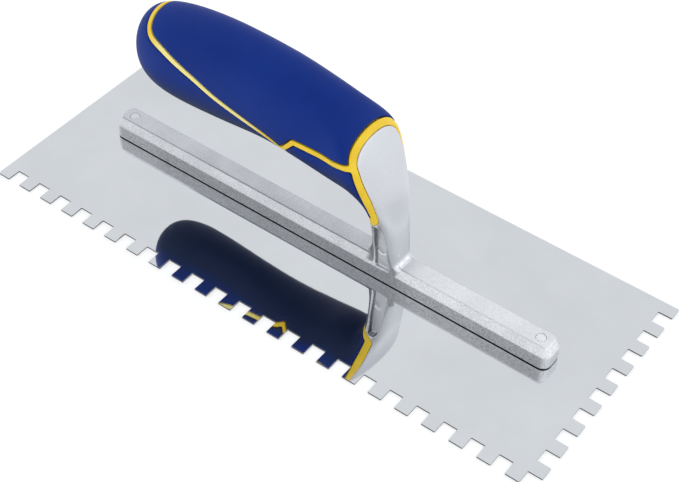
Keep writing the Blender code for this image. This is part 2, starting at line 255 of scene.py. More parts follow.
def signed_distance(points, path):
    """Distance in side view from each point to a path, positive on the path's left."""
    spot = points[:, (0, 2)]
    best = np.full(len(spot), np.inf)
    signed = np.zeros(len(spot))
    for start, end in zip(path, path[1:]):
        way = end - start
        length = np.linalg.norm(way)
        if length == 0:
            continue
        way = way / length
        offset = spot - start
        ahead = np.clip(offset @ way, 0.0, length)
        nearest = offset - ahead[:, None] * way
        distance = np.linalg.norm(nearest, axis=1)
        side = way[0] * offset[:, 1] - way[1] * offset[:, 0]
        closer = distance < best - 1e-9
        best[closer] = distance[closer]
        signed[closer] = np.where(side[closer] >= 0, distance[closer], -distance[closer])
    return signed


def soft_min(first, second, reach):
    """The smaller of two fields, with its crease rounded over a reach."""
    mix = np.clip(0.5 + 0.5 * (second - first) / reach, 0.0, 1.0)
    return second + (first - second) * mix - reach * mix * (1 - mix)


def soft_max(first, second, reach):
    return -soft_min(-first, -second, reach)


def rounded_edge(distance, radius):
    """Depth below a surface at a distance from its edge, for an edge rounded to a radius."""
    reach = np.clip(radius - distance, 0.0, radius)
    return radius - np.sqrt(radius**2 - reach**2)


# Cutting the skin into panels. A sheet is a table of vertices (x, y, z, normal, fields) with its triangles.


def split(sheet, column, level):
    """Adds vertices where a field crosses a level, so that triangles end there."""
    table, faces = sheet
    table = table.copy()
    value = table[:, column] - level
    value[np.abs(value) < SNAP] = 0.0
    table[:, column] = value + level
    side = np.sign(value).astype(int)
    turn = side[faces]
    mixed = (turn.min(axis=1) < 0) & (turn.max(axis=1) > 0)
    kept, cut = faces[~mixed], faces[mixed]
    if len(cut) == 0:
        return table, faces
    turn = side[cut]
    has_zero = (turn == 0).any(axis=1)
    lone = np.where(has_zero, np.argmax(turn == 0, axis=1), 0)
    total = turn.sum(axis=1)
    lone = np.where(has_zero, lone, np.argmax(turn == -np.sign(total)[:, None], axis=1))
    order = (lone[:, None] + np.arange(3)) % 3
    cut = np.take_along_axis(cut, order, axis=1)
    edges = {}
    added = []

    def crossing(a, b):
        key = (a, b) if a < b else (b, a)
        if key not in edges:
            low, high = key
            t = value[low] / (value[low] - value[high])
            row = table[low] * (1 - t) + table[high] * t
            row[column] = level
            edges[key] = len(table) + len(added)
            added.append(row)
        return edges[key]

    new = []
    for (a, b, c), zero in zip(cut.tolist(), has_zero.tolist()):
        if zero:
            p = crossing(b, c)
            new += [(a, b, p), (a, p, c)]
        else:
            p, q = crossing(a, b), crossing(a, c)
            new += [(a, p, q), (p, b, c), (p, c, q)]
    return np.vstack((table, added)), np.vstack((kept, new))


def split_all(sheet, column, levels):
    for level in levels:
        sheet = split(sheet, column, level)
    return sheet


def keep(sheet, column, level):
    """The part of a sheet where a field is above a level."""
    table, faces = split(sheet, column, level)
    inside = (table[faces][:, :, column] - level).mean(axis=1) > 0
    return compact(table, faces[inside])


def compact(table, faces):
    used, index = np.unique(faces, return_inverse=True)
    return table[used], index.reshape(faces.shape)


def whole(faces):
    """The triangles that have three different corners."""
    return faces[np.array([len(set(face)) == 3 for face in faces.tolist()])]


def closed_shell(sheet, depth, thickness):
    """A closed solid: the sheet pressed in by depth, an inner face at thickness, and border walls."""
    table, faces = sheet
    faces = whole(faces)
    points, normals = table[:, :3], table[:, 3:6]
    outer = points - normals * depth[:, None]
    inner = points - normals * thickness
    count = len(points)
    edges = {(a, b) for face in faces.tolist() for a, b in zip(face, face[1:] + face[:1])}
    walls = [(b, a, a + count, b + count) for a, b in edges if (b, a) not in edges]
    walls.sort()
    solid = [*faces.tolist(), *(faces[:, ::-1] + count).tolist(), *walls]
    return np.vstack((outer, inner)), solid


# Objects


def in_scene(name, data):
    thing = bpy.data.objects.new(name, data)
    bpy.context.scene.collection.objects.link(thing)
    return thing


def face_outwards(mesh):
    shell = bmesh.new()
    shell.from_mesh(mesh)
    bmesh.ops.recalc_face_normals(shell, faces=shell.faces)
    shell.to_mesh(mesh)
    shell.free()


def add_piece(name, points, faces, look, replaced, sharp_degrees=38):
    mesh = bpy.data.meshes.new(name)
    mesh.from_pydata([tuple(point) for point in points], [], faces)
    mesh.validate()
    return dress(in_scene(name, mesh), look, replaced, sharp_degrees)


def dress(piece, look, replaced, sharp_degrees=38):
    """Faces a finished piece outwards, shades it, and ties it to the frame."""
    face_outwards(piece.data)
    piece.data.materials.clear()
    piece.data.materials.append(look)
    piece.data.shade_smooth()
    piece.data.set_sharp_from_angle(angle=math.radians(sharp_degrees))
    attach(piece, "root")
    if replaced:
        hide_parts(replaced)
    return piece


# Handle

GRIP_THICKNESS = 2.2
GRIP_EDGE = 0.75
CORE_EDGE = 0.3
CORE_THICKNESS = 3.6
POCKET_DEPTH = 2.5
CORNER_BLEND = 0.9
FLOOR_SLOPE = 0.12
GRIP_EDGE_LEVELS = (0.06, 0.2, 0.42, GRIP_EDGE)
CORE_LINE_LEVELS = (-FLOOR_SLOPE, 0.0, 0.06, 0.16, CORE_EDGE)
CORE_LIP_LEVELS = (0.06, 0.2, CORE_EDGE)
LINE_FIELD, REAR_FIELD, FRONT_FIELD, EDGE_FIELD = 6, 7, 8, 9


def handle_sheet(fineness):
    """The handle's skin with its side view distances to the line and to both edges of the collar."""
    points, normals, faces = skin_mesh(fineness)
    line = signed_distance(points, smooth_curve(LINE, CURVE_STEPS))
    rear = -signed_distance(points, np.vstack((smooth_curve(COLLAR_REAR, CURVE_STEPS), COLLAR_REAR_TAIL)))
    front_edge = np.vstack((smooth_curve(COLLAR_FRONT, CURVE_STEPS), COLLAR_FRONT_TAIL))
    front = -signed_distance(points, front_edge)
    table = np.column_stack((points, normals, line, rear, front, np.zeros(len(points))))
    return table, faces


def line_half_width(table):
    x, half_width = zip(*LINE_WIDTHS)
    return np.interp(table[:, 0], x, half_width)


def with_field(sheet, values):
    table, faces = sheet
    table = table.copy()
    table[:, EDGE_FIELD] = values(table)
    return table, faces


def grip(name, sheet, side, look):
    """One soft panel: its border is rounded over and it ends a groove away from the line and the collar."""
    def inside(table):
        from_line = side * table[:, LINE_FIELD] - line_half_width(table) - LINE_GAP
        return soft_min(from_line, table[:, REAR_FIELD] - LINE_GAP, CORNER_BLEND)

    panel = keep(with_field(sheet, inside), EDGE_FIELD, 0.0)
    panel = split_all(panel, EDGE_FIELD, GRIP_EDGE_LEVELS)
    depth = rounded_edge(panel[0][:, EDGE_FIELD], GRIP_EDGE)
    points, faces = closed_shell(panel, depth, GRIP_THICKNESS)
    return add_piece(name, placed(points), faces, look, name.replace("_panel", "_grip"))


def core(sheet, look):
    """The rigid core: raised line and collar, with a sunk floor under each soft panel."""
    def band(table):
        line = line_half_width(table) - np.abs(table[:, LINE_FIELD])
        return soft_max(line, -table[:, REAR_FIELD], CORNER_BLEND)

    body = keep(sheet, FRONT_FIELD, 0.0)
    body = with_field(body, band)
    body = split_all(body, EDGE_FIELD, CORE_LINE_LEVELS)
    body = split_all(body, FRONT_FIELD, CORE_LIP_LEVELS)
    table = body[0]
    raised = table[:, EDGE_FIELD]
    crown = rounded_edge(raised, CORE_EDGE)
    sunk = POCKET_DEPTH * np.clip(-raised / FLOOR_SLOPE, 0.0, 1.0)
    depth = np.where(raised >= 0, crown, CORE_EDGE + sunk)
    depth = np.maximum(depth, rounded_edge(table[:, FRONT_FIELD], CORE_EDGE))
    points, faces = closed_shell(body, depth, CORE_THICKNESS)
    return add_piece("core_moulding", placed(points), faces, look, "handle_core")


# Solids for the casting


def solid(name, rings):
    """A closed mesh object through rings of equal length."""
    vertices = [tuple(point) for ring in rings for point in ring]
    count = len(rings[0])
    faces = []
    for row in range(len(rings) - 1):
        for i in range(count):
            j = (i + 1) % count
            low, high = row * count, (row + 1) * count
            faces.append((low + i, low + j, high + j, high + i))
    faces.append(tuple(range(count)))
    faces.append(tuple(range(len(vertices) - count, len(vertices))))
    mesh = bpy.data.meshes.new(name)
    mesh.from_pydata(vertices, [], faces)
    mesh.validate()
    face_outwards(mesh)
    return in_scene(name, mesh)


def apply_modifiers(thing):
    bpy.context.view_layer.update()
    depsgraph = bpy.context.evaluated_depsgraph_get()
    mesh = bpy.data.meshes.new_from_object(thing.evaluated_get(depsgraph))
    thing.modifiers.clear()
    thing.data = mesh


def boolean(target, operation, tool):
    """Applies one exact Boolean to target and removes the tool."""
    modifier = target.modifiers.new(operation.title(), "BOOLEAN")
    modifier.operation = operation
    modifier.solver = "EXACT"
    modifier.object = tool
    apply_modifiers(target)
    bpy.data.objects.remove(tool)


# Casting

CASTING_GAP = 0.1
LIP_RADIUS = 0.55
LIP_LEVELS = (0.04, 0.14, 0.3, LIP_RADIUS)
BAR_BASE = 0.26
BAR_FOOT_EDGE = 0.4
BAR_HALF_WIDTH = 6.25
BAR_SIDE_HEIGHT = 7.0
BAR_CHAMFER = 2.2
BAR_CORNER = 4.0
CORNER_STEPS = 14
NECK_ROWS = 120
NECK_COLUMNS = 132
FRONT_FILLET = 3.0
REAR_FILLET = 1.6
TANG_POINTS = 32

# Tang sections: x, z, half height, half width, and lean, the change of x for each unit of height
TANG = (
    (168.9, 57.5, 6.0, 6.5, -0.43),
    (152.0, 62.0, 7.5, 7.0, 0.0),
    (112.0, 66.0, 6.0, 5.0, 0.0),
    (78.0, 66.0, 4.5, 4.0, 0.0),
)
POCKET = (
    (169.2, 7.8), (176.3, 7.8), (175.9, 16.0), (175.4, 24.5),
    (174.0, 31.0), (172.6, 33.0), (169.6, 33.0), (169.2, 22.0),
)
POCKET_WEB_FOOT = 4.5
POCKET_WEB_TOP = 6.3
POCKET_DRAFT = 0.15
POCKET_DRAFT_DEPTH = 4.0
CUTTER_REACH = 40.0
MARK_PLACE = (171.8, 16.6)
MARK_RADIUS = 2.1
MARK_DEPTH = 0.4
RIVET_HOLE = 2.2
HOLE_REACH = 5.0
HIDDEN_HOLE_GAP = 0.2
VOXEL = 0.3
KEPT_FACES = 0.5
ROUND_STEPS = 48


def bar_box():
    """The bar's rear, front, mounting's half width and top, in side view millimetres."""
    low, high = (np.array(corner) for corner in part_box("mounting"))
    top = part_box("rivet_1")[1][2]
    low, high = side_view(low), side_view(high)
    return low[0], high[0], high[1], (top - BLADE_HIGH[2]) / MM


def bar_ring(inset, z):
    """The bar's rounded outline at a height, drawn in by inset."""
    rear, front, _, _ = bar_box()
    centre = (rear + front) / 2
    half_length = (front - rear) / 2
    ring = []
    for turn, (sx, sy) in enumerate(((1, 1), (-1, 1), (-1, -1), (1, -1))):
        for step in range(CORNER_STEPS + 1):
            angle = math.pi / 2 * (turn + step / CORNER_STEPS)
            x = centre + sx * (half_length - BAR_CORNER) + (BAR_CORNER - inset) * math.cos(angle)
            y = sy * (BAR_HALF_WIDTH - BAR_CORNER) + (BAR_CORNER - inset) * math.sin(angle)
            ring.append((x, y, z))
    return placed(ring)


def bar_solid():
    top = bar_box()[3]
    return solid("bar", [
        bar_ring(BAR_FOOT_EDGE, BAR_BASE),
        bar_ring(0.0, BAR_BASE + BAR_FOOT_EDGE),
        bar_ring(0.0, BAR_SIDE_HEIGHT),
        bar_ring(BAR_CHAMFER, top),
    ])


def neck_solid():
    """The neck with a flared foot, running on up into the handle."""
    places = section_places()
    first = places[FIRST_NECK_SECTION - 3]
    rings = skin_rings(np.linspace(first, places[-1], NECK_ROWS), NECK_COLUMNS)
    top = bar_box()[3]
    for fillet, forward in ((FRONT_FILLET, 1), (REAR_FILLET, -1)):
        centre = rings[:, :, 0].mean(axis=1, keepdims=True)
        reach = (rings[:, :, 0] - centre) * forward
        facing = np.clip(reach / np.maximum(reach.max(axis=1, keepdims=True), 1e-6), 0.0, 1.0) ** 3
        height = np.clip(rings[:, :, 2] - top, 0.0, fillet)
        flare = fillet - np.sqrt(fillet**2 - (fillet - height) ** 2)
        rings[:, :, 0] += forward * flare * facing
    return solid("neck", [placed(ring) for ring in rings])


def mesh_arrays(thing):
    """Side view points, normals and triangles of an object's mesh."""
    mesh = thing.data
    mesh.calc_loop_triangles()
    points = np.zeros(3 * len(mesh.vertices))
    normals = np.zeros(3 * len(mesh.vertices))
    faces = np.zeros(3 * len(mesh.loop_triangles), int)
    mesh.vertices.foreach_get("co", points)
    mesh.vertices.foreach_get("normal", normals)
    mesh.loop_triangles.foreach_get("vertices", faces)
    return side_view(points.reshape(-1, 3)), normals.reshape(-1, 3), faces.reshape(-1, 3)


def trim_at_collar(body):
    """Cuts the casting off where the core's collar begins, rounds its lip and closes it."""
    points, normals, faces = mesh_arrays(body)
    path = np.vstack((smooth_curve(COLLAR_FRONT, CURVE_STEPS), COLLAR_FRONT_TAIL))
    from_lip = signed_distance(points, path) - CASTING_GAP
    table = np.column_stack((points, normals, np.zeros((len(points), 3)), from_lip))
    sheet = keep((table, faces), EDGE_FIELD, 0.0)
    sheet = split_all(sheet, EDGE_FIELD, LIP_LEVELS)
    table, faces = sheet
    depth = rounded_edge(np.minimum(table[:, EDGE_FIELD], LIP_RADIUS), LIP_RADIUS)
    faces = whole(faces)
    mesh = bpy.data.meshes.new("trimmed")
    mesh.from_pydata(placed(table[:, :3] - table[:, 3:6] * depth[:, None]).tolist(), [], faces.tolist())
    shell = bmesh.new()
    shell.from_mesh(mesh)
    border = [edge for edge in shell.edges if edge.is_boundary]
    bmesh.ops.triangle_fill(shell, use_beauty=True, edges=border)
    bmesh.ops.recalc_face_normals(shell, faces=shell.faces)
    shell.to_mesh(mesh)
    shell.free()
    body.data = mesh


def tang_solid():
    rings = []
    for x, z, half_height, half_width, lean in TANG:
        angle = 2 * math.pi * (np.arange(TANG_POINTS) + 0.5) / TANG_POINTS
        up = half_height * np.sin(angle)
        rings.append(placed(np.column_stack((x + lean * up, half_width * np.cos(angle), z + up))))
    return solid("tang", rings)


def pocket_web(z):
    """How far the pocket's floor is from the neck's middle at a height."""
    low, high = min(p[1] for p in POCKET), max(p[1] for p in POCKET)
    return POCKET_WEB_FOOT + (POCKET_WEB_TOP - POCKET_WEB_FOOT) * (z - low) / (high - low)


def pocket_cutter(side):
    """Cutter for the pocket in one side of the neck, with drafted walls."""
    outline = np.array(POCKET)
    centre = outline.mean(axis=0)
    rings = []
    for depth, spread in ((0.0, 0.0), (POCKET_DRAFT_DEPTH, POCKET_DRAFT), (CUTTER_REACH, POCKET_DRAFT)):
        ring = []
        for x, z in outline:
            away = np.array((x, z)) - centre
            away = away / np.linalg.norm(away) * spread
            ring.append((x + away[0], side * (pocket_web(z) + depth), z + away[1]))
        rings.append(placed(ring))
    return solid("pocket", rings)


def circle(x, radius, z):
    """A level circle round a point of the bar's centre line, all in row frame metres."""
    turns = [2 * math.pi * i / ROUND_STEPS for i in range(ROUND_STEPS)]
    return [(x + radius * math.cos(a), radius * math.sin(a), z) for a in turns]


def mark_cutter(side):
    """Cutter for the round ejector mark on the pocket's web."""
    x, z = MARK_PLACE
    web = pocket_web(z)
    rings = []
    for y in (web - MARK_DEPTH, web + 1.0):
        angle = 2 * math.pi * np.arange(ROUND_STEPS) / ROUND_STEPS
        ring = np.column_stack((x + MARK_RADIUS * np.cos(angle), np.full(ROUND_STEPS, side * y),
                                z + MARK_RADIUS * np.sin(angle)))
        rings.append(placed(ring))
    return solid("mark", rings)


def rivet_names():
    return sorted(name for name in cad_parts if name.startswith("rivet_"))


def rivet_place(name):
    low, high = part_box(name)
    return (low[0] + high[0]) / 2, high[2]


def casting(look):
    """Bar, neck and tang in one casting, with soft as-cast edges."""
    body = bar_solid()
    boolean(body, "UNION", neck_solid())
    for side in (-1, 1):
        boolean(body, "DIFFERENCE", pocket_cutter(side))
        boolean(body, "DIFFERENCE", mark_cutter(side))
    for name in rivet_names():
        x, top = rivet_place(name)
        is_end = top > BLADE_HIGH[2] + BAR_SIDE_HEIGHT * MM
        reach = top + (HOLE_REACH if is_end else HIDDEN_HOLE_GAP) * MM
        hole = solid("hole", [circle(x, RIVET_HOLE * MM, z) for z in (-HOLE_REACH * MM, reach)])
        boolean(body, "DIFFERENCE", hole)
    fine = body.modifiers.new("Cast", "REMESH")
    fine.mode = "VOXEL"
    fine.voxel_size = VOXEL * MM
    fine.use_smooth_shade = True
    soft = body.modifiers.new("Soft", "SMOOTH")
    soft.factor = 0.5
    soft.iterations = 2
    lighter = body.modifiers.new("Lighter", "DECIMATE")
    lighter.ratio = KEPT_FACES
    apply_modifiers(body)
    trim_at_collar(body)
    boolean(body, "UNION", tang_solid())
    body.name = "casting"
    return dress(body, look, "mounting", 60)


# Rivets

RIVET_RADIUS = 2.1
RIVET_EDGE = 0.28
RIVET_SINK = 0.1
RIVET_CENTRE = 0.02
RIVET_EDGE_STEPS = 4


def rivet(name, look):
    """A rivet turned with rounded rims and faintly domed ends."""
    x, top = rivet_place(name)
    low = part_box(name)[0][2]
    is_end = top > BLADE_HIGH[2] + BAR_SIDE_HEIGHT * MM
    top -= (RIVET_SINK if is_end else 0.0) * MM
    profile = [(RIVET_CENTRE, low)]
    turns = [math.pi / 2 * step / RIVET_EDGE_STEPS for step in range(RIVET_EDGE_STEPS + 1)]
    for a in turns:
        radius = RIVET_RADIUS - RIVET_EDGE * (1 - math.sin(a))
        profile.append((radius, low + RIVET_EDGE * (1 - math.cos(a)) * MM))
    for a in turns:
        radius = RIVET_RADIUS - RIVET_EDGE * (1 - math.cos(a))
        profile.append((radius, top - RIVET_EDGE * (1 - math.sin(a)) * MM))
    profile.append((1.0, top + 0.05 * MM))
    profile.append((RIVET_CENTRE, top + 0.06 * MM))
    rings = [circle(x, radius * MM, z) for radius, z in profile]
    piece = solid(name.replace("rivet", "rivet_body"), rings)
    return dress(piece, look, name, 50)


# Blade

NOTCH = 6.35 * MM
FRONT_TEETH = 22
SIDE_TEETH = 9
BLADE_EDGE = 0.09 * MM
TOOTH_CORNER = 0.25 * MM
BLADE_HOLE = 2.2 * MM


def blade_outline():
    """The blade's outline from its plain front left corner, anticlockwise seen from above."""
    left, front = BLADE_LOW[:2]
    right, back = BLADE_HIGH[:2]
    pitch = 2 * NOTCH
    points = [(left, front)]
    for tooth in range(FRONT_TEETH):
        x = left + tooth * pitch
        points += [(x + NOTCH, front), (x + NOTCH, front + NOTCH)]
        if tooth < FRONT_TEETH - 1:
            points += [(x + pitch, front + NOTCH), (x + pitch, front)]
    for tooth in range(SIDE_TEETH):
        y = front + NOTCH + tooth * pitch
        points += [(right, y), (right, y + NOTCH)]
        if tooth < SIDE_TEETH - 1:
            points += [(right - NOTCH, y + NOTCH), (right - NOTCH, y + pitch)]
    points.append((left, back))
    return points


def rounded_outline(points, radius, steps=3):
    """The outline with each right-angled corner rounded. Each item is a point and its way out."""
    rounded = []
    count = len(points)
    for i in range(count):
        before, corner, after = (np.array(points[(i + k) % count]) for k in (-1, 0, 1))
        into, away = corner - before, after - corner
        into, away = into / np.linalg.norm(into), away / np.linalg.norm(away)
        centre = corner - into * radius + away * radius
        outwards = into[0] * away[1] - into[1] * away[0]
        for step in range(steps + 1):
            turn = math.pi / 2 * step / steps
            from_centre = -away * math.cos(turn) + into * math.sin(turn)
            rounded.append((centre + radius * from_centre, from_centre * math.copysign(1.0, outwards)))
    return rounded


def blade(look):
    """Punched sheet with its edges barely broken, so they catch the light."""
    loops = [rounded_outline(blade_outline(), TOOTH_CORNER)]
    for name in rivet_names():
        x, _ = rivet_place(name)
        turns = [-2 * math.pi * i / ROUND_STEPS for i in range(ROUND_STEPS)]
        ways = [np.array((math.cos(a), math.sin(a))) for a in turns]
        loops.append([(np.array((x, 0.0)) + BLADE_HOLE * way, -way) for way in ways])
    low, high = BLADE_LOW[2], BLADE_HIGH[2]
    levels = ((BLADE_EDGE, low), (0.0, low + BLADE_EDGE), (0.0, high - BLADE_EDGE), (BLADE_EDGE, high))
    sheet = bmesh.new()
    borders = {level: [] for level in range(len(levels))}
    for loop in loops:
        rings = []
        for level, (inset, z) in enumerate(levels):
            ring = [sheet.verts.new((*(point - way * inset), z)) for point, way in loop]
            rings.append(ring)
        for near, far in zip(rings, rings[1:]):
            for i in range(len(loop)):
                j = (i + 1) % len(loop)
                sheet.faces.new((near[i], near[j], far[j], far[i]))
        for level in (0, len(levels) - 1):
            borders[level] += rings[level]
    for level in (0, len(levels) - 1):
        corners = set(borders[level])
        rim = {edge for corner in corners for edge in corner.link_edges
               if edge.verts[0] in corners and edge.verts[1] in corners}
        ordered = sorted(rim, key=lambda edge: tuple(edge.verts[0].co) + tuple(edge.verts[1].co))
        bmesh.ops.triangle_fill(sheet, use_beauty=True, edges=ordered)
    mesh = bpy.data.meshes.new("blade_sheet")
    sheet.to_mesh(mesh)
    sheet.free()
    return dress(in_scene("blade_sheet", mesh), look, "blade", 30)


# Materials

LINE_BEND_HEIGHT = 24.0 * MM
# Painted shadow line along the bar's upper edges, standing in for the shade of a small step: its place and
# half width
CREASE_SHADE_PLACE = 4.05 * MM
CREASE_SHADE_HALF_WIDTH = 0.32 * MM


class Look:
    """A material with a Principled shader, built up node by node."""

    def __init__(self, name, metallic, roughness, **sockets):
        self.material = bpy.data.materials.new(name)
        self.material.use_nodes = True
        self.nodes = self.material.node_tree.nodes
        self.links = self.material.node_tree.links
        self.shader = self.nodes["Principled BSDF"]
        self.shader.inputs["Metallic"].default_value = metallic
        self.shader.inputs["Roughness"].default_value = roughness
        for socket, value in sockets.items():
            self.shader.inputs[socket.replace("_", " ")].default_value = value
        self.place = self.nodes.new("ShaderNodeTexCoord").outputs["Object"]

    def upright(self):
        """How far the surface faces up or down, from 0 to 1."""
        normal = self.split_up(self.nodes.new("ShaderNodeNewGeometry").outputs["Normal"])
        return self.maths("ABSOLUTE", normal["Z"])

    def split_up(self, vector):
        node = self.nodes.new("ShaderNodeSeparateXYZ")
        self.links.new(vector, node.inputs["Vector"])
        return node.outputs

    def maths(self, operation, first, second=0.0):
        """A number worked out from sockets or plain numbers."""
        node = self.nodes.new("ShaderNodeMath")
        node.operation = operation
        for socket, value in zip(node.inputs, (first, second)):
            if isinstance(value, float):
                socket.default_value = value
            else:
                self.links.new(value, socket)
        return node.outputs["Value"]

    def mixed_number(self, factor, first, second):
        """A number between two numbers; the first is a socket."""
        node = self.nodes.new("ShaderNodeMix")
        self.links.new(factor, node.inputs["Factor"])
        self.links.new(first, node.inputs[2])
        node.inputs[3].default_value = second
        return node.outputs[0]

    def rise(self, value, limits, most=1.0):
        """0 below the limits, and the value of most above them."""
        return self.ramp(value, *limits, 0.0, most)

    def fall(self, value, limits, most=1.0):
        """The value of most below the limits, and 0 above them."""
        return self.ramp(value, *limits, most, 0.0)

    def band(self, value, start, full, fading, end):
        """1 between full and fading, and 0 outside start and end."""
        return self.both(self.rise(value, (start, full)), self.fall(value, (fading, end)))

    def both(self, first, second):
        return self.maths("MULTIPLY", first, second)

    def either(self, first, second):
        return self.maths("MAXIMUM", first, second)

    def stretched(self, scale):
        mapping = self.nodes.new("ShaderNodeMapping")
        mapping.inputs["Scale"].default_value = scale
        self.links.new(self.place, mapping.inputs["Vector"])
        return mapping.outputs["Vector"]

    def noise(self, size, detail=3.0, rough=0.55, scale=(1.0, 1.0, 1.0)):
        """Noise whose largest features are about size metres."""
        node = self.nodes.new("ShaderNodeTexNoise")
        node.inputs["Scale"].default_value = 1.0 / size
        node.inputs["Detail"].default_value = detail
        node.inputs["Roughness"].default_value = rough
        self.links.new(self.stretched(scale), node.inputs["Vector"])
        return node.outputs["Fac"]

    def ramp(self, value, low, high, start, end):
        """Maps a value from the range low..high onto start..end."""
        node = self.nodes.new("ShaderNodeMapRange")
        for socket, number in (("From Min", low), ("From Max", high), ("To Min", start), ("To Max", end)):
            node.inputs[socket].default_value = number
        self.links.new(value, node.inputs["Value"])
        return node.outputs["Result"]

    def mixed(self, factor, first, second):
        """A colour between two colours; either may be a socket."""
        node = self.nodes.new("ShaderNodeMix")
        node.data_type = "RGBA"
        self.links.new(factor, node.inputs["Factor"])
        for socket, colour in ((node.inputs[6], first), (node.inputs[7], second)):
            if isinstance(colour, tuple):
                socket.default_value = (*colour, 1.0)
            else:
                self.links.new(colour, socket)
        return node.outputs[2]

    def bump(self, height, distance, strength=1.0, normal=None):
        node = self.nodes.new("ShaderNodeBump")
        node.inputs["Distance"].default_value = distance
        node.inputs["Strength"].default_value = strength
        self.links.new(height, node.inputs["Height"])
        if normal is not None:
            self.links.new(normal, node.inputs["Normal"])
        return node.outputs["Normal"]

    def set(self, socket, value):
        self.links.new(value, self.shader.inputs[socket])


def blade_steel():
    """Bright rolled steel: fine grinding lines along the blade, faint smears and a slow wave, and painted
    shade that makes the cut edges nearly black.
    """
    look = Look("blade_steel", 1.0, 0.08)
    lines = look.noise(0.0006, 2.0, 0.6, (0.012, 1.0, 1.0))
    smears = look.noise(0.045, 4.0, 0.6)
    bright = look.mixed(look.rise(smears, (0.35, 0.7)), (0.64, 0.655, 0.675), (0.68, 0.695, 0.715))
    # Painted shade: faces that don't look up, the blade's cut edges, are painted nearly black
    flat = look.ramp(look.upright(), 0.35, 0.75, 0.0, 1.0)
    look.set("Base Color", look.mixed(flat, (0.05, 0.05, 0.055), bright))
    fine = look.ramp(smears, 0.3, 0.7, 0.02, 0.04)
    look.set("Roughness", fine)
    waves = look.noise(0.05, 1.0, 0.4, (0.5, 1.0, 1.0))
    normal = look.bump(waves, 0.00003)
    look.set("Normal", look.bump(lines, 0.0000008, 1.0, normal))
    return look.material


# The casting's tones, much of them painted light and shade. Places are in the row frame's metres: X along
# the tool, and heights above the sole.
CLOUDS = (0.35, 0.65)
BESIDE_NECK = (0.038, 0.050)
BAR_REAR_END = (-0.125, -0.085)
ABOVE_BAR = (0.0121, 0.0135)
CREASE_SHADE_HEIGHT = (0.0113, 0.0115)
CONTACT_SHADOW_HEIGHT = (0.00114, 0.00136)
POCKET_FLOOR = (0.0062, 0.0070)
POCKET_HALF_WIDTH = (0.0057, 0.0061)
POCKET_HEIGHTS = (0.0085, 0.0095, 0.034, 0.036)
POCKET_REAR = (0.0238, 0.0262)
POCKET_REAR_PART = (0.0325, 0.0335)
LOW_NECK = (0.034, 0.038)
PALE_FOOT = (0.022, 0.058)
HIGH_NECK = (0.030, 0.045)
RIM_HIGHLIGHT_STRETCH = (0.0282, 0.0286, 0.0410, 0.0430)

# How far up a face looks, from 0 on an upright side to 1 on the flat top
SIDE_TO_BEVEL = (0.2, 0.4)
BEVEL_TO_TOP = (0.84, 0.94)
BEVEL_STARTS = (0.3, 0.5)
BEVEL_ENDS = (0.84, 0.92)

# Painted shade of a facet, not modelled, in front of each pocket: its edges as X at the sole, lean and
# curve, and how softly they end; and the width of the painted shadow line along the pocket's edge
FACET_HEIGHT = (0.034, 0.044)
FACET_FRONT = (0.0406, 0.095, 12.0)
FACET_REAR = (0.0370, 0.05, 21.0)
FACET_FRONT_FADE = (-0.0008, 0.0010)
FACET_REAR_FADE = (-0.0001, 0.0001)
FACET_SHADOW_LINE = (0.0001, 0.0005)

# Painted light on the flange behind each pocket: stretches of X with their tones, a band of painted shade,
# a painted highlight on the rim and painted shade at the pocket's wall
FLANGE_FOOT = (0.0087, 0.0093)
FLANGE_LIGHT_BANDS = (
    ((0.0240, 0.0262, 0.0279, 0.0284), (0.30, 0.305, 0.32)),
    ((0.0281, 0.0285, 0.0289, 0.0292), (0.92, 0.92, 0.93)),
    ((0.0290, 0.0293, 0.0299, 0.0304), (0.26, 0.265, 0.28)),
)


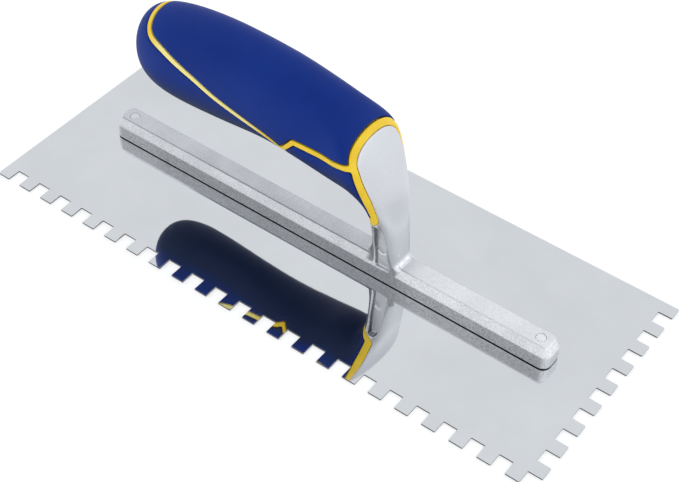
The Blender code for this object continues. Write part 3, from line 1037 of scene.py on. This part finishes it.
class Casting(Look):
    """The casting's material, with masks that tell its parts apart by place and direction and paint light
    and shade on them.
    """

    def __init__(self):
        super().__init__("cast_aluminium", 1.0, 0.42)
        self.grain = self.noise(0.00055, 2.0, 0.6)
        self.cloud = self.noise(0.012, 3.0, 0.55)
        place = self.split_up(self.place)
        self.along = place["X"]
        self.across = self.maths("ABSOLUTE", place["Y"])
        self.level = place["Z"]
        geometry = self.nodes.new("ShaderNodeNewGeometry").outputs
        normal = self.split_up(geometry["Normal"])
        self.forward = normal["X"]
        self.sideways = self.rise(self.maths("ABSOLUTE", normal["Y"]), (0.25, 0.45))
        self.facing_up = self.upright()
        self.bend = geometry["Pointiness"]
        self.low = self.fall(self.level, LOW_NECK)

    def is_neck(self):
        """1 above the bar, and on the upright walls of the pockets that reach down into the bar."""
        in_pocket = self.fall(self.across, POCKET_HALF_WIDTH)
        in_pocket = self.both(in_pocket, self.rise(self.level, POCKET_FLOOR))
        walls = self.both(in_pocket, self.fall(self.facing_up, BEVEL_STARTS))
        return self.either(self.rise(self.level, ABOVE_BAR), walls)

    def crease_shade(self):
        """Painted shadow line: 1 along both long upper edges of the bar, and 0 a little away from them."""
        away = self.maths("ABSOLUTE", self.maths("SUBTRACT", self.across, CREASE_SHADE_PLACE))
        on_edge = self.fall(away, (CREASE_SHADE_HALF_WIDTH * 0.4, CREASE_SHADE_HALF_WIDTH))
        return self.both(on_edge, self.rise(self.level, CREASE_SHADE_HEIGHT, 0.7))

    def bar_tone_with_light(self):
        """Painted shade behind the neck, under the handle, easing off towards the bar's rear end, and
        painted light that gives tops, bevels and sides different tones.
        """
        # Painted shade: the bar is darker behind the neck, where the handle shades it
        in_front = self.rise(self.along, BESIDE_NECK)
        top = self.mixed(in_front, (0.61, 0.62, 0.65), (0.82, 0.83, 0.85))
        bevel = self.mixed(in_front, (0.76, 0.77, 0.795), (0.88, 0.885, 0.90))
        side = self.mixed(in_front, (0.61, 0.62, 0.64), (0.88, 0.885, 0.895))
        # The painted shade eases off past the handle's rear end, so sides are lighter towards the bar's
        # rear end
        side = self.mixed(self.fall(self.along, BAR_REAR_END, 0.6), side, (0.86, 0.865, 0.875))
        # Painted light: sides, bevels and tops get different tones by which way they face
        tone = self.mixed(self.rise(self.facing_up, SIDE_TO_BEVEL), side, bevel)
        tone = self.mixed(self.rise(self.facing_up, BEVEL_TO_TOP), tone, top)
        tone = self.mixed(self.rise(self.cloud, CLOUDS, 0.10), tone, (0.40, 0.41, 0.43))
        # Painted shadow line along the bar's upper edges, behind the neck only
        crease_shade = self.both(self.crease_shade(), self.fall(in_front, (0.0, 1.0)))
        return self.mixed(crease_shade, tone, (0.20, 0.205, 0.215))

    def neck_tone(self):
        """Pale with slow clouds, and paler towards its foot."""
        high = self.mixed(self.rise(self.cloud, CLOUDS), (0.70, 0.715, 0.75), (0.74, 0.755, 0.79))
        return self.mixed(self.rise(self.level, PALE_FOOT), (0.90, 0.905, 0.92), high)

    def pocket_wall_shade(self):
        """Where painted shade goes: 1 on the walls of the neck's pockets that face the front, and on the
        back of their rims.
        """
        ahead = self.rise(self.forward, (0.45, 0.7))
        wall = self.either(ahead, self.fall(self.forward, (-0.55, -0.20), 0.85))
        wall = self.both(wall, self.fall(self.along, POCKET_REAR_PART))
        in_pocket = self.band(self.level, *POCKET_HEIGHTS)
        return self.both(wall, self.both(in_pocket, self.rise(self.along, POCKET_REAR)))

    def from_edge(self, foot, lean, curve):
        """How far in front of a line on the neck's side. The line curves back above its bend height."""
        above = self.either(self.maths("SUBTRACT", self.level, LINE_BEND_HEIGHT), 0.0)
        bent = self.both(self.both(above, above), curve)
        straight = self.maths("SUBTRACT", foot, self.both(self.level, lean))
        return self.maths("SUBTRACT", self.along, self.maths("SUBTRACT", straight, bent))

    def with_facet_shade(self, tone, neck):
        """Painted shade of a grey facet in front of each pocket, which is not modelled, and a painted
        shadow line along the pocket's edge.
        """
        from_line = self.from_edge(*FACET_REAR)
        facet = self.both(neck, self.fall(self.level, FACET_HEIGHT))
        facet = self.both(facet, self.rise(from_line, FACET_REAR_FADE))
        facet = self.both(facet, self.fall(self.from_edge(*FACET_FRONT), FACET_FRONT_FADE))
        tone = self.mixed(facet, tone, (0.60, 0.61, 0.635))
        # Painted shadow line along the pocket's edge, on the neck's sides low down
        line = self.fall(self.maths("ABSOLUTE", from_line), FACET_SHADOW_LINE, 0.6)
        line = self.both(line, self.both(self.both(neck, self.sideways), self.low))
        return self.mixed(line, tone, (0.24, 0.245, 0.26))

    def with_flange_light(self, tone):
        """Painted shade, a painted highlight and painted shade again, in bands on the flange behind each
        pocket.
        """
        bevel = self.both(self.rise(self.facing_up, BEVEL_STARTS), self.fall(self.facing_up, BEVEL_ENDS))
        flange = self.both(self.low, self.rise(self.level, FLANGE_FOOT))
        flange = self.both(self.either(self.sideways, bevel), flange)
        for stretch, colour in FLANGE_LIGHT_BANDS:
            tone = self.mixed(self.both(flange, self.band(self.along, *stretch)), tone, colour)
        return tone

    def with_front_shade(self, tone):
        """Painted shade: a greyer face where the neck looks forward, high up."""
        front = self.both(self.rise(self.forward, (0.5, 0.95), 0.4), self.rise(self.level, HIGH_NECK))
        return self.mixed(front, tone, (0.52, 0.53, 0.56))

    def with_edge_light(self, tone):
        """Painted shade in corners, painted highlights on the pockets' rims, and a painted black contact
        shadow where the bar meets the blade.
        """
        # Painted shade in corners and creases, found by pointiness
        tone = self.mixed(self.fall(self.bend, (0.44, 0.48), 0.75), tone, (0.16, 0.165, 0.18))
        # Painted highlight on the pockets' rims
        rim = self.both(self.rise(self.bend, (0.52, 0.56), 0.9), self.low)
        rim = self.both(rim, self.rise(self.level, POCKET_FLOOR))
        rim = self.both(rim, self.band(self.along, *RIM_HIGHLIGHT_STRETCH))
        tone = self.mixed(rim, tone, (0.97, 0.97, 0.975))
        # Painted contact shadow where the bar meets the blade
        return self.mixed(self.fall(self.level, CONTACT_SHADOW_HEIGHT, 0.95), tone, (0.02, 0.02, 0.02))

    def with_pits(self, tone, neck):
        """Pits of the tumbled surface, strong on the bar's sides and faint on the neck."""
        shaded = self.nodes.new("ShaderNodeMix")
        shaded.data_type = "RGBA"
        shaded.blend_type = "MULTIPLY"
        on_bar = self.ramp(self.facing_up, 0.1, 0.9, 0.9, 0.35)
        self.links.new(self.mixed_number(neck, on_bar, 0.12), shaded.inputs["Factor"])
        self.links.new(tone, shaded.inputs[6])
        self.links.new(self.ramp(self.grain, 0.34, 0.62, 0.66, 1.12), shaded.inputs[7])
        return shaded.outputs[2]


def cast_aluminium():
    """Tumbled casting: pale satin metal, grainier on the bar and painted duller there as shade, with
    painted shade on the pocket walls and more painted light and shade on facets, flanges, corners and rims.
    """
    look = Casting()
    neck = look.is_neck()
    tone = look.mixed(neck, look.bar_tone_with_light(), look.neck_tone())
    # Painted shade on the pocket walls and on the back of their rims
    tone = look.mixed(look.pocket_wall_shade(), tone, (0.20, 0.205, 0.22))
    tone = look.with_flange_light(look.with_facet_shade(tone, neck))
    tone = look.with_edge_light(look.with_front_shade(tone))
    look.set("Base Color", look.with_pits(tone, neck))
    look.set("Roughness", look.ramp(look.cloud, 0.3, 0.7, 0.38, 0.48))
    look.set("Normal", look.bump(look.grain, 0.00003, 0.5))
    return look.material


RIVET_SHADE_CHANGE = (-0.02, 0.02)
PALE_SHEEN_STRETCH = (-0.084, -0.076, -0.034, -0.020)
UNDERSIDE_SHADE = (-0.5, -0.05)


def rivet_metal():
    """Rivet ends ground flush, a little lighter towards the front: the rear rivet is painted darker, as
    shade under the handle like the bar around it.
    """
    look = Look("rivet_metal", 1.0, 0.35)
    turned = look.noise(0.0005, 2.0, 0.6, (0.2, 1.0, 0.2))
    # Painted shade: the rear rivet is darker, matching the painted shade on the bar behind the neck
    front = look.rise(look.split_up(look.place)["X"], RIVET_SHADE_CHANGE)
    tone = look.mixed(front, (0.68, 0.69, 0.715), (0.86, 0.87, 0.885))
    look.set("Base Color", look.mixed(look.ramp(turned, 0.35, 0.65, 0.0, 0.2), tone, (0.50, 0.51, 0.53)))
    look.set("Roughness", look.ramp(turned, 0.3, 0.7, 0.34, 0.46))
    look.set("Normal", look.bump(turned, 0.00002, 0.5))
    return look.material


def yellow_plastic():
    """Rigid moulded plastic, slightly mottled, with a painted sheen that makes the line paler along the
    handle's side.
    """
    look = Look("yellow_plastic", 0.0, 0.4, Specular_IOR_Level=0.45)
    mottle = look.noise(0.006, 3.0, 0.5)
    grain = look.noise(0.0004, 2.0, 0.5)
    yellow = look.mixed(look.ramp(mottle, 0.35, 0.65, 0.0, 1.0), (0.86, 0.56, 0.012), (0.91, 0.63, 0.02))
    # Painted sheen: the line is paler where it runs along the handle's side, as seen at a grazing angle
    sheen_band = look.band(look.split_up(look.place)["X"], *PALE_SHEEN_STRETCH)
    look.set("Base Color", look.mixed(sheen_band, yellow, (0.95, 0.82, 0.27)))
    look.set("Roughness", look.ramp(grain, 0.3, 0.7, 0.36, 0.46))
    look.set("Normal", look.bump(grain, 0.00001, 0.5))
    return look.material


def blue_rubber():
    """Soft rubber: fine pebbled skin with slow changes of tone, and painted shade that makes it darker
    underneath.
    """
    look = Look("blue_rubber", 0.0, 0.6, Specular_IOR_Level=0.14)
    skin = look.noise(0.0005, 2.0, 0.6)
    tone = look.noise(0.02, 3.0, 0.5)
    blue = look.mixed(look.rise(tone, CLOUDS), (0.0012, 0.0225, 0.20), (0.0018, 0.027, 0.225))
    facing = look.split_up(look.nodes.new("ShaderNodeNewGeometry").outputs["Normal"])["Z"]
    # Painted shade: faces that look down are darker
    look.set("Base Color", look.mixed(look.rise(facing, UNDERSIDE_SHADE), (0.010, 0.022, 0.070), blue))
    look.set("Roughness", look.ramp(skin, 0.3, 0.7, 0.5, 0.62))
    look.set("Normal", look.bump(skin, 0.00003, 0.6))
    return look.material


# Studio

SKY = 1.0
FLOOR_HALF_SIZE = 6.0
FLOOR_DROP = 0.0002

# Patches of the sky: direction, the cosines where each starts and is full, and its change of strength
SKY_PATCHES = (
    ((-0.35, -0.45, 0.82), 0.76, 0.95, -0.62),
    ((0.73, 0.57, 0.35), 0.70, 0.95, 0.15),
)


def make_camera():
    data = bpy.data.cameras.new("camera")
    data.lens = CAMERA_LENS
    data.sensor_width = SENSOR_WIDTH
    data.sensor_fit = "HORIZONTAL"
    data.clip_start = 0.01
    data.clip_end = 20.0
    camera = in_scene("camera", data)
    look_at = Vector(CAMERA_TARGET) - Vector(CAMERA_PLACE)
    roll = Matrix.Rotation(math.radians(CAMERA_ROLL), 3, "Z")
    turn = look_at.to_track_quat("-Z", "Y").to_matrix() @ roll
    camera.matrix_world = Matrix.Translation(CAMERA_PLACE) @ turn.to_4x4()
    bpy.context.scene.camera = camera


def make_floor():
    size = FLOOR_HALF_SIZE
    mesh = bpy.data.meshes.new("floor")
    corners = [(-size, -size, 0), (size, -size, 0), (size, size, 0), (-size, size, 0)]
    mesh.from_pydata(corners, [], [(0, 1, 2, 3)])
    floor = in_scene("floor", mesh)
    floor.location.z = -FLOOR_DROP
    look = Look("floor", 0.0, 0.9, Specular_IOR_Level=0.1)
    paper = look.noise(0.4, 2.0)
    look.set("Base Color", look.mixed(paper, (0.64, 0.64, 0.64), (0.66, 0.66, 0.66)))
    look.shader.inputs["Emission Color"].default_value = (1.0, 1.0, 1.0, 1.0)
    look.shader.inputs["Emission Strength"].default_value = 0.45
    mesh.materials.append(look.material)


def softbox(name, place, target, width, height, power, colour=(1.0, 1.0, 1.0)):
    data = bpy.data.lights.new(name, "AREA")
    data.shape = "RECTANGLE"
    data.size = width
    data.size_y = height
    data.energy = power
    data.color = colour
    light = in_scene(name, data)
    way = Vector(target) - Vector(place)
    light.matrix_world = Matrix.Translation(place) @ way.to_track_quat("-Z", "Y").to_matrix().to_4x4()


def sky_strength(tree):
    """Even sky with a dark patch on the near side and bright ones, each round a direction."""
    direction = tree.nodes.new("ShaderNodeTexCoord").outputs["Generated"]
    total = None
    for centre, start, end, change in SKY_PATCHES:
        near = tree.nodes.new("ShaderNodeVectorMath")
        near.operation = "DOT_PRODUCT"
        near.inputs[1].default_value = Vector(centre).normalized()
        tree.links.new(direction, near.inputs[0])
        patch = tree.nodes.new("ShaderNodeMapRange")
        patch.interpolation_type = "SMOOTHSTEP"
        for socket, number in (("From Min", start), ("From Max", end), ("To Min", 0.0), ("To Max", change)):
            patch.inputs[socket].default_value = number
        tree.links.new(near.outputs["Value"], patch.inputs["Value"])
        add = tree.nodes.new("ShaderNodeMath")
        add.inputs[0].default_value = SKY
        if total is not None:
            tree.links.new(total, add.inputs[0])
        tree.links.new(patch.outputs["Result"], add.inputs[1])
        total = add.outputs["Value"]
    return total


def make_lights():
    world = bpy.data.worlds.new("studio")
    world.use_nodes = True
    background = world.node_tree.nodes["Background"]
    background.inputs["Color"].default_value = (0.96, 0.98, 1.0, 1.0)
    world.node_tree.links.new(sky_strength(world.node_tree), background.inputs["Strength"])
    bpy.context.scene.world = world
    softbox("key", (-1.1, -0.4, 1.3), (0.0, 0.0, 0.03), 1.2, 1.2, 4.0)
    softbox("fill", (1.3, -0.3, 1.0), (0.0, 0.0, 0.03), 1.0, 1.0, 1.0)
    bpy.context.scene.view_settings.view_transform = "Standard"


def main():
    make_camera()
    make_lights()
    make_floor()
    sheet = handle_sheet(1.0)
    rubber = blue_rubber()
    grip("upper_panel", sheet, 1, rubber)
    grip("lower_panel", sheet, -1, rubber)
    core(handle_sheet(CORE_FINENESS), yellow_plastic())
    casting(cast_aluminium())
    metal = rivet_metal()
    for name in rivet_names():
        rivet(name, metal)
    blade(blade_steel())


main()
